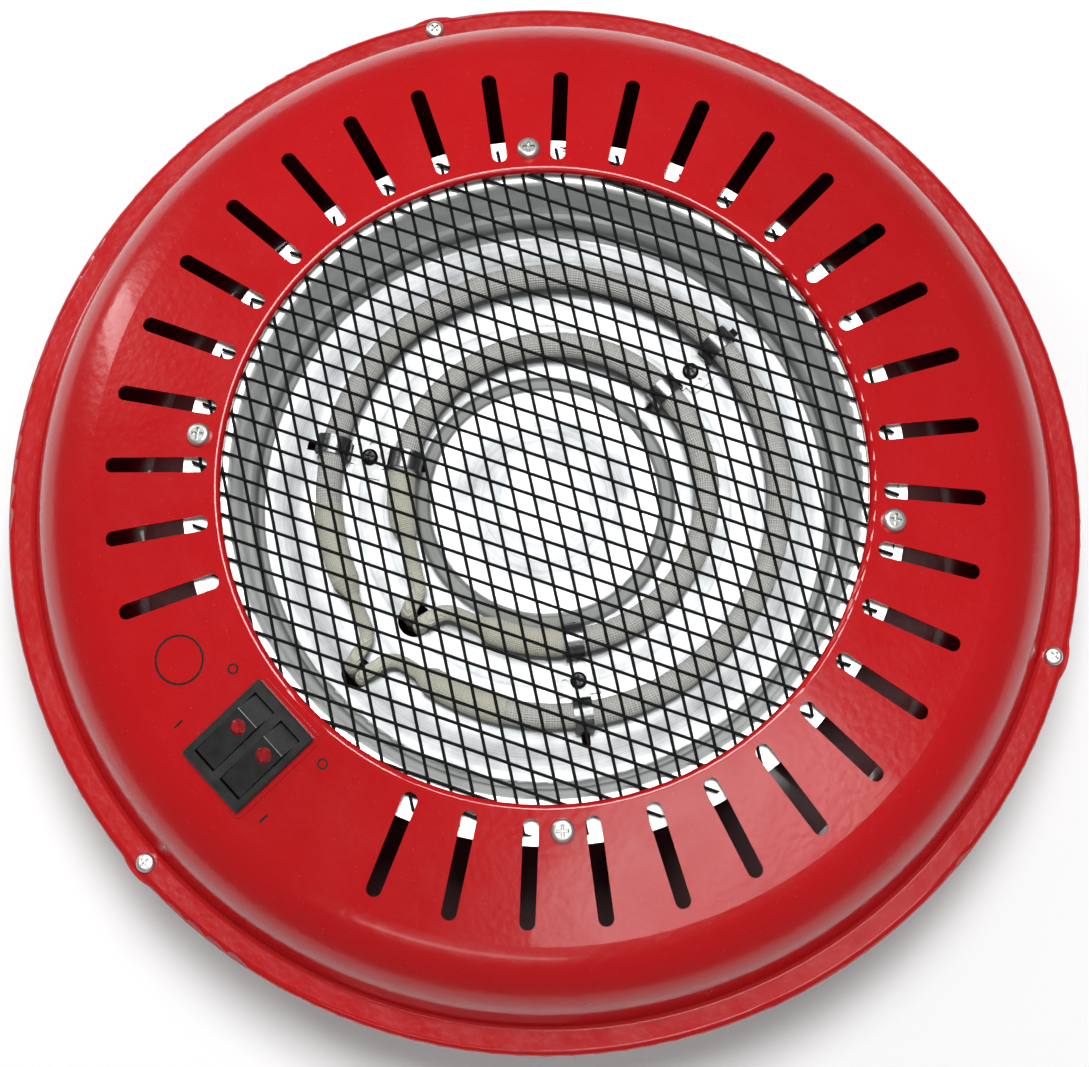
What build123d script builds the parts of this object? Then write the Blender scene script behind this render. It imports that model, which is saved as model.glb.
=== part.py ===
from build123d import *
import math
import os

os.makedirs("parts", exist_ok=True)

# Round radiant heater with a slotted dome cover, a reflector bowl under a wire guard and a twin switch.
# Origin on the axis at floor level, +Z up, switch towards -Y. All sizes in millimetres.

# ---------------------------------------------------------------- driving dimensions
RIM_RADIUS = 175.0
RIM_HEIGHT = 53.0
COVER_SHEET = 0.8
OPENING_RADIUS = 100.3
OPENING_TOP = RIM_HEIGHT + 36.55
LIP_DROP = 2.65
CONE_ANGLE = 10.06
SHOULDER_RADIUS = 26.0
WALL_ANGLE = 72.0
WALL_FOOT_RADIUS = 165.9
RIM_ROLL_DROP = 3.2
TAB_RISE = 0.8
TAB_ARC_RADIUS = 18.0

SLOT_INNER = 104.5
SLOT_OUTER = 137.2
SLOT_WIDTH = 4.8
SLOT_STEP = 10.0
FIRST_SLOT = 295.0
SLOT_COUNT = 32

COVER_SCREW_CIRCLE = 108.0
COVER_SCREW_ANGLES = (40.0, 140.0, 220.0, 320.0)
COVER_SCREW_HEAD = 7.4
COVER_SCREW_SHANK = 3.9
COVER_SCREW_LENGTH = 8.0
RIM_SCREW_CIRCLE = 170.5
RIM_SCREW_FIRST = 30.0
RIM_SCREW_HEAD = 6.2
RIM_SCREW_SHANK = 3.0
RIM_SCREW_LENGTH = 8.0

MESH_RADIUS = 109.6
MESH_PITCH = 6.19
MESH_WIRE = 1.0
MESH_LAYER_GAP = 0.02
MESH_TOP = OPENING_TOP - LIP_DROP - 0.1
MESH_FAMILIES = ((118.1, 0.2), (59.4, 1.8))

REFLECTOR_SHEET = 0.6
REFLECTOR_FLANGE_RADIUS = 112.5
REFLECTOR_FLANGE_TOP = MESH_TOP - 2 * MESH_WIRE - MESH_LAYER_GAP
NOTCH_HALF_WIDTH = 13.6
NOTCH_START = 103.2

ELEMENT_CENTRE_Y = 4.0
ELEMENT_ROPE = 8.0
ELEMENT_HEIGHT = 1.5
ELEMENT_RADII = {"inner": 49.5, "outer": 73.0}
ELEMENT_END_ANGLES = {"inner": (24.0, 30.0), "outer": (15.0, 19.0)}
SLEEVE_WALL = 0.5
SLEEVE_ANGLES = {"inner": (26.0, 20.0), "outer": (20.0, 20.0)}
TAIL_DIAMETER = 3.0
TAIL_SPREAD = {"inner": 2.7, "outer": 2.45}
NECK_RADII = {"inner": 2.5, "outer": 2.2}
NECK_LENGTH = 5.0
NECK_END = 47.0
LEAD_HOLES = {"inner": (57.0, 5.5), "outer": (82.0, 5.0)}
SPLICE_DIAMETER = 4.6
SPLICE_LENGTH = 14.0

CLIP_SHEET = 0.8
CLIP_WIDTH = 6.0
CLIP_PLATE = (9.4, 13.6)
CLIP_CIRCLE = 61.5
CLIP_ANGLES = {"rear": 90.0, "left": 215.5, "right": 324.5}
CLIP_TAB = 2.2
CLIP_SLOT = (5.6, 2.8)
OUTER_SLOT_SHIFT = 1.6

SWITCH_CIRCLE = 121.5
PAD_RISE = 0.3
PAD_SIZE = (28.5, 35.6)
BEZEL_SIZE = (25.0, 32.5)
BEZEL_THICKNESS = 2.0
HOUSING_SIZE = (22.0, 28.8)
HOUSING_DEPTH = 17.0
HOUSING_FLOOR = 2.0
WINDOW_SIZE = (8.7, 25.8)
ROCKER_SPACING = 11.6
ROCKER_WIDTH = 8.3
PIVOT_HEIGHT = -0.5
ROCKER_THROW = 22.0
TRUNNION_RADIUS = 1.2
TRUNNION_LENGTH = 0.5
TRUNNION_CLEARANCE = 0.05
LENS_OFFSET = 2.15
LENS_RADIUS = 2.5
LEVER_TILT = 8.0
LEVER_PIVOT_DEPTH = 9.4
LEVER_SIZE = (3.0, 12.4, 0.6)
LEVER_BEAD_RADIUS = 0.42
TERMINAL_OFFSETS = (-6.0, 0.0, 6.0)

PAN_SHEET = 0.8
PAN_FLANGE_RADIUS = 172.4
PAN_WALL_TOP_RADIUS = 156.0
PAN_WALL_FOOT_RADIUS = 146.0
PAN_FLOOR_BOTTOM = 8.0
PAN_CORNER_RADIUS = 9.0
VENT_CIRCLE = 88.0
VENT_COUNT = 12
INLET_HEIGHT = 30.0
INLET_RADIUS = 6.0
INLET_BORE = 3.7
FOOT_CIRCLE = 118.0
FOOT_FIRST = 30.0
FOOT_RADIUS = 9.0

BLOCK_Y = 100.0
BLOCK_SIZE = (36.0, 20.0, 16.0)
BLOCK_PITCH = 11.0
CUTOUT_Y = 28.0
LEAD_DIAMETER = 2.6

PAN_FLOOR = PAN_FLOOR_BOTTOM + PAN_SHEET
REFLECTOR_FLOOR = RIM_HEIGHT
ROPE_AXIS = REFLECTOR_FLOOR + ELEMENT_HEIGHT + ELEMENT_ROPE / 2


# ---------------------------------------------------------------- shared geometry
def cone_height(radius):
    """Height of the cover's outer face on its sloped ring."""
    return OPENING_TOP - (radius - OPENING_RADIUS) * math.tan(math.radians(CONE_ANGLE))


def cone_plane(radius, azimuth):
    """Plane lying on the sloped ring: x along the tangent, y towards the axis, z out of the sheet."""
    turn = math.radians(azimuth)
    tilt = math.radians(CONE_ANGLE)
    origin = (radius * math.cos(turn), radius * math.sin(turn), cone_height(radius))
    outward = (math.sin(tilt) * math.cos(turn), math.sin(tilt) * math.sin(turn), math.cos(tilt))
    return Plane(origin=origin, x_dir=(-math.sin(turn), math.cos(turn), 0), z_dir=outward)


def polar_point(radius, azimuth, height, centre_y=0.0):
    turn = math.radians(azimuth)
    return Vector(radius * math.cos(turn), radius * math.sin(turn) + centre_y, height)


def bend_radii(points, largest):
    """One arc radius for each inner corner of a route, as large as its two runs allow."""
    radii = []
    for before, corner, after in zip(points, points[1:], points[2:]):
        run_in = Vector(*corner) - Vector(*before)
        run_out = Vector(*after) - Vector(*corner)
        half_turn = math.radians(run_in.get_angle(run_out) / 2)
        shorter = min(run_in.length, run_out.length)
        radii.append(min(largest, 0.45 * shorter / math.tan(half_turn)))
    return radii


def pan_head_screws(planes, head_radius, head_height, shank_radius, length):
    """A group of cross-recessed pan head screws, one on each plane, head outward."""
    with BuildPart() as screws:
        with BuildSketch(*planes):
            Circle(head_radius)
        extrude(amount=head_height)
        rims = screws.edges().filter_by(GeomType.CIRCLE)
        tops = []
        for plane in planes:
            top = plane.offset(head_height).origin
            tops += [edge for edge in rims if (edge.arc_center - top).length < 0.01]
        fillet(tops, head_height * 0.62)
        with BuildSketch(*[plane.offset(head_height) for plane in planes]):
            Rectangle(head_radius * 1.05, head_radius * 0.26)
            Rectangle(head_radius * 0.26, head_radius * 1.05)
        extrude(amount=-head_height * 0.55, taper=12, mode=Mode.SUBTRACT)
        with BuildSketch(*planes):
            Circle(shank_radius)
        extrude(amount=-length)
    return screws


def hex_nuts(planes, across_flats, height, bore_radius):
    """A group of hexagon nuts, one hanging from each plane."""
    with BuildPart() as nuts:
        with BuildSketch(*planes):
            RegularPolygon(across_flats / 2, 6, major_radius=False)
            Circle(bore_radius, mode=Mode.SUBTRACT)
        extrude(amount=-height)
    return nuts


def lead_tube(points, largest_bend=18.0, diameter=LEAD_DIAMETER):
    """A lead of round section along straight runs joined by tangent arcs."""
    with BuildPart() as lead:
        with BuildLine() as route:
            if len(points) > 2:
                FilletPolyline(*points, radius=bend_radii(points, largest_bend))
            else:
                Line(*points)
        with BuildSketch(Plane(origin=route.line @ 0, z_dir=route.line % 0)):
            Circle(diameter / 2)
        sweep(path=route.line)
    run_length = route.wires()[0].length
    ratio = lead.part.volume / (math.pi * diameter ** 2 / 4 * run_length)
    print(f"lead length {run_length:.1f} volume ratio {ratio:.4f}")
    return lead


switch_plane = cone_plane(SWITCH_CIRCLE, 270.0).offset(PAD_RISE)
cover_screw_planes = [cone_plane(COVER_SCREW_CIRCLE, angle) for angle in COVER_SCREW_ANGLES]
rim_screw_planes = [
    Plane(origin=polar_point(RIM_SCREW_CIRCLE, RIM_SCREW_FIRST + 120 * i, RIM_HEIGHT)) for i in range(3)
]
foot_planes = [
    Plane(origin=polar_point(FOOT_CIRCLE, FOOT_FIRST + 120 * i, 0.0)) for i in range(3)
]


# ---------------------------------------------------------------- top cover
cone_rate = math.tan(math.radians(CONE_ANGLE))
wall_rate = math.tan(math.radians(WALL_ANGLE))
shoulder_rise = (OPENING_TOP - RIM_HEIGHT - (WALL_FOOT_RADIUS - OPENING_RADIUS) * cone_rate)
shoulder_rise = shoulder_rise / (1 - cone_rate / wall_rate)
shoulder_corner = (WALL_FOOT_RADIUS - shoulder_rise / wall_rate, RIM_HEIGHT + shoulder_rise)

with BuildPart() as top_cover:
    with BuildSketch(Plane.XZ):
        with BuildLine():
            FilletPolyline(
                (OPENING_RADIUS, OPENING_TOP - LIP_DROP),
                (OPENING_RADIUS, OPENING_TOP),
                shoulder_corner,
                (WALL_FOOT_RADIUS, RIM_HEIGHT),
                (RIM_RADIUS, RIM_HEIGHT),
                (RIM_RADIUS, RIM_HEIGHT - RIM_ROLL_DROP),
                radius=[1.6, SHOULDER_RADIUS, 2.0, 2.4],
            )
            offset(amount=COVER_SHEET, side=Side.RIGHT)
        make_face()
    revolve(axis=Axis.Z)
    # small outward tabs that give the rim screws their edge distance
    with BuildSketch(Plane.XY.offset(RIM_HEIGHT - RIM_ROLL_DROP)):
        with PolarLocations(RIM_RADIUS + TAB_RISE - TAB_ARC_RADIUS, 3, start_angle=RIM_SCREW_FIRST):
            Circle(TAB_ARC_RADIUS)
        Circle(RIM_RADIUS - COVER_SHEET / 2, mode=Mode.SUBTRACT)
    extrude(amount=RIM_ROLL_DROP - 1.0)
    # flat pressed pad under the switch
    with BuildSketch(switch_plane):
        RectangleRounded(*PAD_SIZE, 2.5)
    extrude(amount=-1.4)
    with BuildSketch(switch_plane):
        Rectangle(HOUSING_SIZE[0] + 0.3, HOUSING_SIZE[1] + 0.4)
    extrude(amount=-5.0, mode=Mode.SUBTRACT)
    with BuildSketch(Plane.XY.offset(OPENING_TOP)):
        with PolarLocations(
            (SLOT_INNER + SLOT_OUTER) / 2, SLOT_COUNT, start_angle=FIRST_SLOT,
            angular_range=SLOT_STEP * (SLOT_COUNT - 1), endpoint=True,
        ):
            SlotOverall(SLOT_OUTER - SLOT_INNER, SLOT_WIDTH)
    extrude(amount=-12.0, mode=Mode.SUBTRACT)
    with BuildSketch(*cover_screw_planes):
        Circle(COVER_SCREW_SHANK / 2)
    extrude(amount=-3.0, both=True, mode=Mode.SUBTRACT)
    with BuildSketch(Plane.XY.offset(RIM_HEIGHT + 2)):
        with PolarLocations(RIM_SCREW_CIRCLE, 3, start_angle=RIM_SCREW_FIRST):
            Circle(RIM_SCREW_SHANK / 2)
    extrude(amount=-4.0, mode=Mode.SUBTRACT)
top_cover.part.label = "top_cover"
export_step(top_cover.part, "parts/top_cover.step")


# ---------------------------------------------------------------- base pan
pan_flange_top = RIM_HEIGHT - COVER_SHEET
pan_wall_rate = (PAN_WALL_TOP_RADIUS - PAN_WALL_FOOT_RADIUS) / (pan_flange_top - PAN_FLOOR)
pan_wall_tilt = math.atan(pan_wall_rate)
inlet_plane = Plane(
    origin=(0.0, PAN_WALL_FOOT_RADIUS + (INLET_HEIGHT - PAN_FLOOR) * pan_wall_rate, INLET_HEIGHT),
    x_dir=(-1, 0, 0),
    z_dir=(0, math.cos(pan_wall_tilt), -math.sin(pan_wall_tilt)),
)
with BuildPart() as base_pan:
    with BuildSketch(Plane.XZ):
        with BuildLine():
            FilletPolyline(
                (PAN_FLANGE_RADIUS, pan_flange_top),
                (PAN_WALL_TOP_RADIUS, pan_flange_top),
                (PAN_WALL_FOOT_RADIUS, PAN_FLOOR),
                (0.0, PAN_FLOOR),
                radius=[4.0, PAN_CORNER_RADIUS],
            )
            offset(amount=PAN_SHEET, side=Side.LEFT)
        make_face()
    revolve(axis=Axis.Z)
    with BuildSketch(Plane.XY.offset(pan_flange_top + 1)):
        with PolarLocations(RIM_SCREW_CIRCLE, 3, start_angle=RIM_SCREW_FIRST):
            Circle(RIM_SCREW_SHANK / 2)
    extrude(amount=-4.0, mode=Mode.SUBTRACT)
    with BuildSketch(Plane.XY.offset(PAN_FLOOR + 1)):
        with PolarLocations(VENT_CIRCLE, VENT_COUNT, start_angle=15.0):
            SlotOverall(26.0, 5.0)
        with PolarLocations(FOOT_CIRCLE, 3, start_angle=FOOT_FIRST):
            Circle(2.0)
        with Locations((0.0, BLOCK_Y)):
            with GridLocations(BLOCK_PITCH, 0.0, 2, 1):
                Circle(1.5)
        with Locations((60.0, BLOCK_Y - 10.0)):
            Circle(2.0)
    extrude(amount=-3.0, mode=Mode.SUBTRACT)
    with BuildSketch(inlet_plane):
        Circle(INLET_RADIUS)
    extrude(amount=8.0, both=True, mode=Mode.SUBTRACT)
base_pan.part.label = "base_pan"
export_step(base_pan.part, "parts/base_pan.step")


# ---------------------------------------------------------------- reflector bowl
tab_circles = [ELEMENT_RADII["inner"] - ELEMENT_ROPE / 2 - 1.0, ELEMENT_RADII["outer"] + ELEMENT_ROPE / 2 + 1.0]
with BuildPart() as reflector:
    with BuildSketch(Plane.XZ):
        with BuildLine():
            FilletPolyline(
                (REFLECTOR_FLANGE_RADIUS, REFLECTOR_FLANGE_TOP),
                (97.6, REFLECTOR_FLANGE_TOP),
                (96.3, REFLECTOR_FLOOR + 10.2),
                (94.6, REFLECTOR_FLOOR + 9.0),
                (92.4, REFLECTOR_FLOOR),
                (42.0, REFLECTOR_FLOOR),
                (37.5, REFLECTOR_FLOOR + 3.0),
                (0.0, REFLECTOR_FLOOR + 3.0),
                radius=[1.6, 0.8, 0.8, 2.4, 2.0, 1.5],
            )
            offset(amount=REFLECTOR_SHEET, side=Side.LEFT)
        make_face()
    revolve(axis=Axis.Z)
    with BuildSketch(Plane.XY.offset(REFLECTOR_FLANGE_TOP + 1)):
        with Locations((0.0, -NOTCH_START - 10.0)):
            Rectangle(2 * NOTCH_HALF_WIDTH, 20.0)
    extrude(amount=-3.0, mode=Mode.SUBTRACT)
    with BuildSketch(*cover_screw_planes):
        Circle(COVER_SCREW_SHANK / 2)
    extrude(amount=-9.0, mode=Mode.SUBTRACT)
    with BuildSketch(Plane.XY.offset(REFLECTOR_FLOOR + 1)):
        for hole_y, hole_radius in LEAD_HOLES.values():
            with Locations((0.0, -hole_y)):
                Circle(hole_radius)
        for angle in CLIP_ANGLES.values():
            with Locations(polar_point(CLIP_CIRCLE, angle, 0.0, ELEMENT_CENTRE_Y)):
                Circle(1.6)
            for circle in (tab_circles[0], tab_circles[1] + OUTER_SLOT_SHIFT):
                with Locations(Location(polar_point(circle, angle, 0.0, ELEMENT_CENTRE_Y), (0, 0, angle))):
                    Rectangle(*CLIP_SLOT)
    extrude(amount=-3.0, mode=Mode.SUBTRACT)
reflector.part.label = "reflector"
export_step(reflector.part, "parts/reflector.step")


# ---------------------------------------------------------------- wire guard: two layers of straight wires
wire_count = int(MESH_RADIUS // MESH_PITCH)
with BuildPart() as guard_mesh:
    for layer, (normal_angle, shift) in enumerate(MESH_FAMILIES):
        height = MESH_TOP - MESH_WIRE / 2 - layer * (MESH_WIRE + MESH_LAYER_GAP)
        along = normal_angle + 90.0
        wire_planes = []
        for index in range(-wire_count, wire_count + 1):
            place = polar_point(shift + index * MESH_PITCH, normal_angle, height)
            start = place - polar_point(MESH_RADIUS + 5, along, 0.0)
            wire_planes.append(Plane(origin=start, z_dir=polar_point(1.0, along, 0.0)))
        with BuildSketch(*wire_planes):
            Circle(MESH_WIRE / 2)
        extrude(amount=2 * MESH_RADIUS + 10)
    with BuildSketch(Plane.XY.offset(MESH_TOP + 1)):
        Circle(MESH_RADIUS)
        with Locations((0.0, -NOTCH_START - 10.0)):
            Rectangle(2 * NOTCH_HALF_WIDTH, 20.0, mode=Mode.SUBTRACT)
        with Locations(*[polar_point(COVER_SCREW_CIRCLE, a, 0.0) for a in COVER_SCREW_ANGLES]):
            Circle(COVER_SCREW_SHANK / 2 + 1.3, mode=Mode.SUBTRACT)
    extrude(amount=-2 * MESH_WIRE - 2, mode=Mode.INTERSECT)
guard_mesh.part.label = "guard_mesh"
export_step(guard_mesh.part, "parts/guard_mesh.step")


# ---------------------------------------------------------------- screws and nuts of the casing
cover_screws = pan_head_screws(
    cover_screw_planes, COVER_SCREW_HEAD / 2, 2.3, COVER_SCREW_SHANK / 2, COVER_SCREW_LENGTH
)
cover_screws.part.label = "cover_screws"
export_step(cover_screws.part, "parts/cover_screws.step")

rim_screws = pan_head_screws(rim_screw_planes, RIM_SCREW_HEAD / 2, 2.1, RIM_SCREW_SHANK / 2, RIM_SCREW_LENGTH)
rim_screws.part.label = "rim_screws"
export_step(rim_screws.part, "parts/rim_screws.step")

rim_nut_planes = [plane.offset(-COVER_SHEET - PAN_SHEET) for plane in rim_screw_planes]
rim_nuts = hex_nuts(rim_nut_planes, 5.5, 2.4, RIM_SCREW_SHANK / 2)
rim_nuts.part.label = "rim_nuts"
export_step(rim_nuts.part, "parts/rim_nuts.step")


# ---------------------------------------------------------------- heating elements, their sleeves and tails
splice_top = REFLECTOR_FLOOR - 9.0
splice_bottom = splice_top - SPLICE_LENGTH
splice_places = {}
for name, radius in ELEMENT_RADII.items():
    hole_y = LEAD_HOLES[name][0]
    gap_right, gap_left = ELEMENT_END_ANGLES[name]
    start_angle = 270.0 + gap_right
    sweep_angle = 360.0 - gap_right - gap_left
    tail_routes = {}
    for side, side_name, end_angle in ((1, "right", 270.0 + gap_right), (-1, "left", 270.0 - gap_left)):
        end_point = polar_point(radius, end_angle, ROPE_AXIS, ELEMENT_CENTRE_Y)
        heading = polar_point(1.0, end_angle - 90.0 * side, 0.0)
        drop_x = side * TAIL_SPREAD[name]
        run = abs(end_point.X - drop_x * 2.0) / abs(heading.X)
        knee = end_point + heading * run
        tail_routes[side_name] = [
            end_point,
            knee,
            Vector(drop_x, -hole_y, ROPE_AXIS),
            Vector(drop_x, -hole_y, splice_top),
        ]
        splice_places[name, side] = Vector(drop_x, -hole_y, splice_bottom)
    with BuildPart() as element:
        with BuildLine() as ring:
            CenterArc((0.0, ELEMENT_CENTRE_Y, ROPE_AXIS), radius, start_angle, sweep_angle)
        with BuildSketch(Plane(origin=ring.line @ 0, z_dir=ring.line % 0)):
            Circle(ELEMENT_ROPE / 2)
        sweep(path=ring.line)
        for route_points in tail_routes.values():
            with BuildLine() as tail:
                FilletPolyline(*route_points, radius=bend_radii(route_points, 7.0))
            with BuildSketch(Plane(origin=tail.line @ 0, z_dir=tail.line % 0)):
                Circle(TAIL_DIAMETER / 2)
            sweep(path=tail.line)
    node = f"element_{name}"
    element.part.label = node
    export_step(element.part, f"parts/{node}.step")

    sleeve_right, sleeve_left = SLEEVE_ANGLES[name]
    sleeve_arcs = (("right", start_angle, sleeve_right), ("left", 270.0 - gap_left - sleeve_left, sleeve_left))
    for side, first, sleeve_angle in sleeve_arcs:
        with BuildPart() as sleeve:
            with BuildLine() as cover_arc:
                CenterArc((0.0, ELEMENT_CENTRE_Y, ROPE_AXIS), radius, first, sleeve_angle)
            with BuildSketch(Plane(origin=cover_arc.line @ 0, z_dir=cover_arc.line % 0)):
                Circle(ELEMENT_ROPE / 2 + SLEEVE_WALL)
                Circle(ELEMENT_ROPE / 2, mode=Mode.SUBTRACT)
            sweep(path=cover_arc.line)
            # the sleeve necks down from the rope onto its tail and follows it through the floor
            route_points = tail_routes[side]
            with BuildLine() as tail:
                FilletPolyline(*route_points, radius=bend_radii(route_points, 7.0))
            end_plane = Plane(origin=tail.line @ 0, z_dir=tail.line % 0)
            with BuildSketch(end_plane):
                Circle(ELEMENT_ROPE / 2 + SLEEVE_WALL)
            with BuildSketch(end_plane.offset(NECK_LENGTH)):
                Circle(NECK_RADII[name])
            loft()
            with BuildSketch(end_plane):
                Circle(NECK_RADII[name])
            sweep(path=tail.line)
            with BuildSketch(end_plane):
                Circle(TAIL_DIAMETER / 2)
            sweep(path=tail.line, mode=Mode.SUBTRACT)
            with BuildSketch(Plane(origin=(0.0, -LEAD_HOLES[name][0], NECK_END))):
                Circle(12.0)
            extrude(amount=-8.0, mode=Mode.SUBTRACT)
        node = f"sleeve_{name}_{side}"
        sleeve.part.label = node
        export_step(sleeve.part, f"parts/{node}.step")

for (name, side), place in splice_places.items():
    with BuildPart() as splice:
        with BuildSketch(Plane(origin=place)):
            Circle(SPLICE_DIAMETER / 2)
        extrude(amount=SPLICE_LENGTH)
        fillet(splice.edges().filter_by(GeomType.CIRCLE), 0.5)
    node = f"splice_{name}_" + ("right" if side > 0 else "left")
    splice.part.label = node
    export_step(splice.part, f"parts/{node}.step")


# ---------------------------------------------------------------- element clips with their screws and nuts
inner_tab = tab_circles[0] - CLIP_CIRCLE
outer_tab = tab_circles[1] - CLIP_CIRCLE
inner_foot = ELEMENT_RADII["inner"] + ELEMENT_ROPE / 2 + 0.6 - CLIP_CIRCLE
outer_foot = ELEMENT_RADII["outer"] - ELEMENT_ROPE / 2 - 0.6 - CLIP_CIRCLE
strap_top = ELEMENT_HEIGHT + ELEMENT_ROPE + 0.3
clip_planes = []
for name, angle in CLIP_ANGLES.items():
    centre = polar_point(CLIP_CIRCLE, angle, REFLECTOR_FLOOR, ELEMENT_CENTRE_Y)
    radial = polar_point(1.0, angle, 0.0)
    tangent = polar_point(1.0, angle + 90.0, 0.0)
    floor_plane = Plane(origin=centre, x_dir=radial, z_dir=(0, 0, 1))
    side_plane = Plane(origin=centre, x_dir=radial, z_dir=tangent * -1)
    clip_planes.append(floor_plane)
    with BuildPart() as clip:
        with BuildSketch(side_plane):
            with BuildLine():
                FilletPolyline(
                    (inner_tab, -2.6),
                    (inner_tab, strap_top),
                    (inner_foot, strap_top),
                    (inner_foot, 0.0),
                    (outer_foot, 0.0),
                    (outer_foot, strap_top),
                    (outer_tab, strap_top),
                    (outer_tab, -2.6),
                    radius=[4.2, 4.2, 1.2, 1.2, 4.2, 4.2],
                )
                offset(amount=CLIP_SHEET, side=Side.LEFT)
            make_face()
        extrude(amount=CLIP_WIDTH / 2, both=True)
        with BuildSketch(floor_plane):
            Rectangle(*CLIP_PLATE)
        extrude(amount=CLIP_SHEET)
        with BuildSketch(floor_plane.offset(3.0)):
            with Locations((inner_tab, 0), (outer_tab, 0)):
                Rectangle(4.0, CLIP_WIDTH + 1)
                Rectangle(4.0, CLIP_TAB, mode=Mode.SUBTRACT)
        extrude(amount=-6.0, mode=Mode.SUBTRACT)
        with BuildSketch(floor_plane.offset(CLIP_SHEET)):
            Circle(1.6)
            with Locations((0.0, -4.4)):
                Circle(0.9)
        extrude(amount=-CLIP_SHEET, mode=Mode.SUBTRACT)
    node = f"element_clip_{name}"
    clip.part.label = node
    export_step(clip.part, f"parts/{node}.step")

clip_screws = pan_head_screws([plane.offset(CLIP_SHEET) for plane in clip_planes], 2.7, 1.8, 1.6, 6.0)
clip_screws.part.label = "clip_screws"
export_step(clip_screws.part, "parts/clip_screws.step")


# ---------------------------------------------------------------- twin rocker switch
pivot_plane = switch_plane.offset(PIVOT_HEIGHT)
switch_axis = Axis(switch_plane.origin, switch_plane.z_dir)
cavity_floor = -(HOUSING_DEPTH - HOUSING_FLOOR)
with BuildPart() as switch_housing:
    with BuildSketch(switch_plane):
        RectangleRounded(*BEZEL_SIZE, 0.8)
    extrude(amount=BEZEL_THICKNESS)
    chamfer(switch_housing.edges().group_by(switch_axis)[-1], 0.4)
    with BuildSketch(switch_plane):
        Rectangle(*HOUSING_SIZE)
    extrude(amount=-HOUSING_DEPTH)
    with BuildSketch(switch_plane.offset(BEZEL_THICKNESS)):
        with GridLocations(ROCKER_SPACING, 0.0, 2, 1):
            Rectangle(*WINDOW_SIZE)
    extrude(amount=-(BEZEL_THICKNESS + HOUSING_DEPTH - HOUSING_FLOOR), mode=Mode.SUBTRACT)
    # blind bearing holes for the rocker trunnions
    for x in (-ROCKER_SPACING / 2, ROCKER_SPACING / 2):
        bearing_plane = Plane(
            origin=pivot_plane.from_local_coords((x, 0.0, 0.0)), x_dir=pivot_plane.y_dir, z_dir=pivot_plane.x_dir
        )
        with BuildSketch(bearing_plane):
            Circle(TRUNNION_RADIUS + TRUNNION_CLEARANCE)
        extrude(amount=WINDOW_SIZE[0] / 2 + TRUNNION_LENGTH + 0.05, both=True, mode=Mode.SUBTRACT)
        with BuildSketch(switch_plane.offset(cavity_floor)):
            with GridLocations(0.0, 6.0, 1, 3):
                with Locations((x, 0.0)):
                    Rectangle(4.0, 0.8)
        extrude(amount=-HOUSING_FLOOR, mode=Mode.SUBTRACT)
switch_housing.part.label = "switch_housing"
export_step(switch_housing.part, "parts/switch_housing.step")

terminal_tops = (-12.4, -LEVER_PIVOT_DEPTH - 0.45, -LEVER_PIVOT_DEPTH - 1.5)
with BuildPart() as switch_terminals:
    for x in (-ROCKER_SPACING / 2, ROCKER_SPACING / 2):
        for offset_y, top in zip(TERMINAL_OFFSETS, terminal_tops):
            with BuildSketch(pivot_plane.offset(top)):
                with Locations((x, offset_y)):
                    Rectangle(4.0, 0.8)
            extrude(amount=-(HOUSING_DEPTH + PIVOT_HEIGHT + 8.0 + top))
switch_terminals.part.label = "switch_terminals"
export_step(switch_terminals.part, "parts/switch_terminals.step")

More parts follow.
